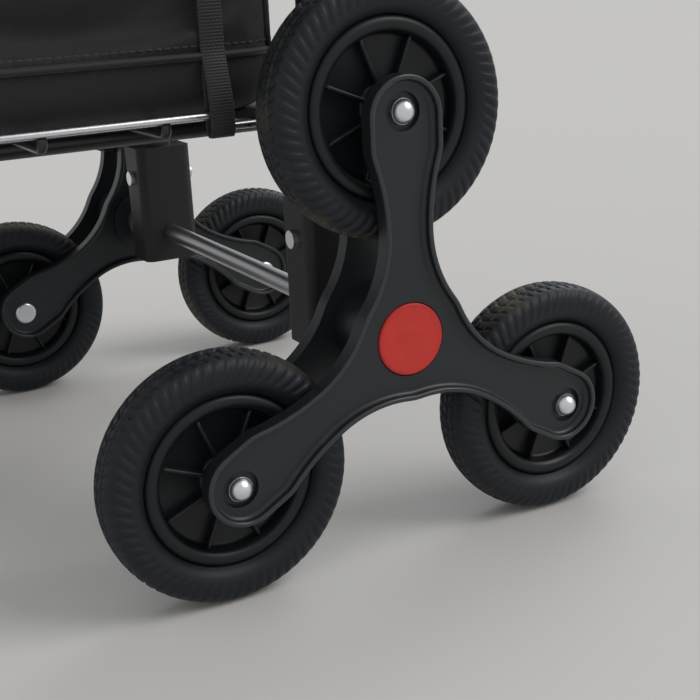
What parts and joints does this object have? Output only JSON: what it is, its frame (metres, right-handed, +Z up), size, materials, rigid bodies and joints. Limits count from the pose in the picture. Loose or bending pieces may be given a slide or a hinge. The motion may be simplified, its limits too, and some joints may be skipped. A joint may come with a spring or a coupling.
{
  "type": "shopping trolley",
  "caption": "Stair-climbing shopping trolley with tri-star wheel clusters that pull off at a red push button, a lidded bag on a tube frame, and a telescopic handle.",
  "frame": {"origin": "middle of the footprint, on the floor", "axes": "+Z up, +X back to the side the handle is pulled from, Y along the axle; the left cluster is at -Y"},
  "size_m": [0.4398, 0.442, 0.981],
  "materials": {
    "spider_plastic": "satin moulded",
    "bright_zinc": "bright zinc plate",
    "steel": "drawn",
    "core_plastic": "natural nylon",
    "red_plastic": "satin moulded",
    "tyre_rubber": "matt, a little dusty",
    "rim_plastic": "satin moulded",
    "frame_plastic": "fine texture",
    "black_tube": "powder coat",
    "bright_wire": "zinc plate",
    "foot_rubber": "matt",
    "bag_fabric": "woven polyester",
    "webbing": "woven webbing",
    "handle_aluminium": "satin anodised",
    "grip_foam": "foam"
  },
  "bodies": {
    "frame": {"axle": "steel", "axle_spacers": "frame_plastic", "left_axle_bracket": "frame_plastic", "right_axle_bracket": "frame_plastic", "bracket_screws": "steel", "left_upright": "black_tube", "right_upright": "black_tube", "upright_collars": "frame_plastic", "upper_crossbar": "black_tube", "lower_crossbar": "black_tube", "rail_clamps": "frame_plastic", "base_side_tubes": "black_tube", "front_foot_tube": "black_tube", "foot_caps": "foot_rubber", "cradle_hoop": "bright_wire", "base_wires": "black_tube", "base_board": "frame_plastic", "bag_panels": "bag_fabric", "bag_corners": "bag_fabric", "bag_floor": "bag_fabric", "bag_pocket": "bag_fabric", "bag_straps": "webbing", "bag_loops": "webbing"},
    "handle": {"handle_tube": "handle_aluminium", "handle_grip": "grip_foam", "handle_lock_clips": "steel"},
    "flap": {"bag_flap": "bag_fabric"},
    "left_hub": {"left_release_core": "core_plastic", "left_circlip": "steel", "left_lock_clip": "steel"},
    "left_push_button": {"left_release_button": "red_plastic", "left_button_spring": "steel"},
    "left_cluster": {"left_outer_spider": "spider_plastic", "left_inner_spider": "spider_plastic", "left_wheel_bolts": "bright_zinc", "left_dome_nuts": "bright_zinc", "left_wheel_sleeves": "steel"},
    "left_top_wheel": {"left_top_tyre": "tyre_rubber", "left_top_rim": "rim_plastic"},
    "left_front_wheel": {"left_front_tyre": "tyre_rubber", "left_front_rim": "rim_plastic"},
    "left_rear_wheel": {"left_rear_tyre": "tyre_rubber", "left_rear_rim": "rim_plastic"},
    "right_hub": {"right_release_core": "core_plastic", "right_circlip": "steel", "right_lock_clip": "steel"},
    "right_push_button": {"right_release_button": "red_plastic", "right_button_spring": "steel"},
    "right_cluster": {"right_outer_spider": "spider_plastic", "right_inner_spider": "spider_plastic", "right_wheel_bolts": "bright_zinc", "right_dome_nuts": "bright_zinc", "right_wheel_sleeves": "steel"},
    "right_top_wheel": {"right_top_tyre": "tyre_rubber", "right_top_rim": "rim_plastic"},
    "right_front_wheel": {"right_front_tyre": "tyre_rubber", "right_front_rim": "rim_plastic"},
    "right_rear_wheel": {"right_rear_tyre": "tyre_rubber", "right_rear_rim": "rim_plastic"}
  },
  "joints": [
    {"name": "handle_slide", "type": "slide", "parent": "frame", "child": "handle", "axis": [0, 0, 1], "range_m": [-0.24, 0], "deforming": ["handle_lock_clips"]},
    {"name": "flap_hinge", "type": "hinge", "parent": "frame", "child": "flap", "pos_m": [0.03414, 0, 0.7482], "axis": [0, 1, 0], "range_deg": [0, 90]},
    {"name": "left_cluster_pull_off", "type": "slide", "parent": "frame", "child": "left_hub", "axis": [0, -1, 0], "range_m": [0, 0.07], "deforming": ["left_lock_clip"]},
    {"name": "left_button_press", "type": "slide", "parent": "left_hub", "child": "left_push_button", "axis": [0, 1, 0], "range_m": [0, 0.004], "stiffness_N_per_m": 900, "springref_m": -0.006, "deforming": ["left_button_spring"]},
    {"name": "left_cluster_spin", "type": "hinge", "parent": "left_hub", "child": "left_cluster", "pos_m": [0.05614, -0.195, 0.122], "axis": [0, 1, 0], "continuous": true},
    {"name": "left_top_wheel_spin", "type": "hinge", "parent": "left_cluster", "child": "left_top_wheel", "pos_m": [0.05614, -0.195, 0.236], "axis": [0, 1, 0], "continuous": true},
    {"name": "left_front_wheel_spin", "type": "hinge", "parent": "left_cluster", "child": "left_front_wheel", "pos_m": [-0.04259, -0.195, 0.065], "axis": [0, 1, 0], "continuous": true},
    {"name": "left_rear_wheel_spin", "type": "hinge", "parent": "left_cluster", "child": "left_rear_wheel", "pos_m": [0.15486, -0.195, 0.065], "axis": [0, 1, 0], "continuous": true},
    {"name": "right_cluster_pull_off", "type": "slide", "parent": "frame", "child": "right_hub", "axis": [0, 1, 0], "range_m": [0, 0.07], "deforming": ["right_lock_clip"]},
    {"name": "right_button_press", "type": "slide", "parent": "right_hub", "child": "right_push_button", "axis": [0, -1, 0], "range_m": [0, 0.004], "stiffness_N_per_m": 900, "springref_m": -0.006, "deforming": ["right_button_spring"]},
    {"name": "right_cluster_spin", "type": "hinge", "parent": "right_hub", "child": "right_cluster", "pos_m": [0.05614, 0.195, 0.122], "axis": [0, 1, 0], "continuous": true},
    {"name": "right_top_wheel_spin", "type": "hinge", "parent": "right_cluster", "child": "right_top_wheel", "pos_m": [0.05614, 0.195, 0.236], "axis": [0, 1, 0], "continuous": true},
    {"name": "right_front_wheel_spin", "type": "hinge", "parent": "right_cluster", "child": "right_front_wheel", "pos_m": [-0.04259, 0.195, 0.065], "axis": [0, 1, 0], "continuous": true},
    {"name": "right_rear_wheel_spin", "type": "hinge", "parent": "right_cluster", "child": "right_rear_wheel", "pos_m": [0.15486, 0.195, 0.065], "axis": [0, 1, 0], "continuous": true}
  ]
}
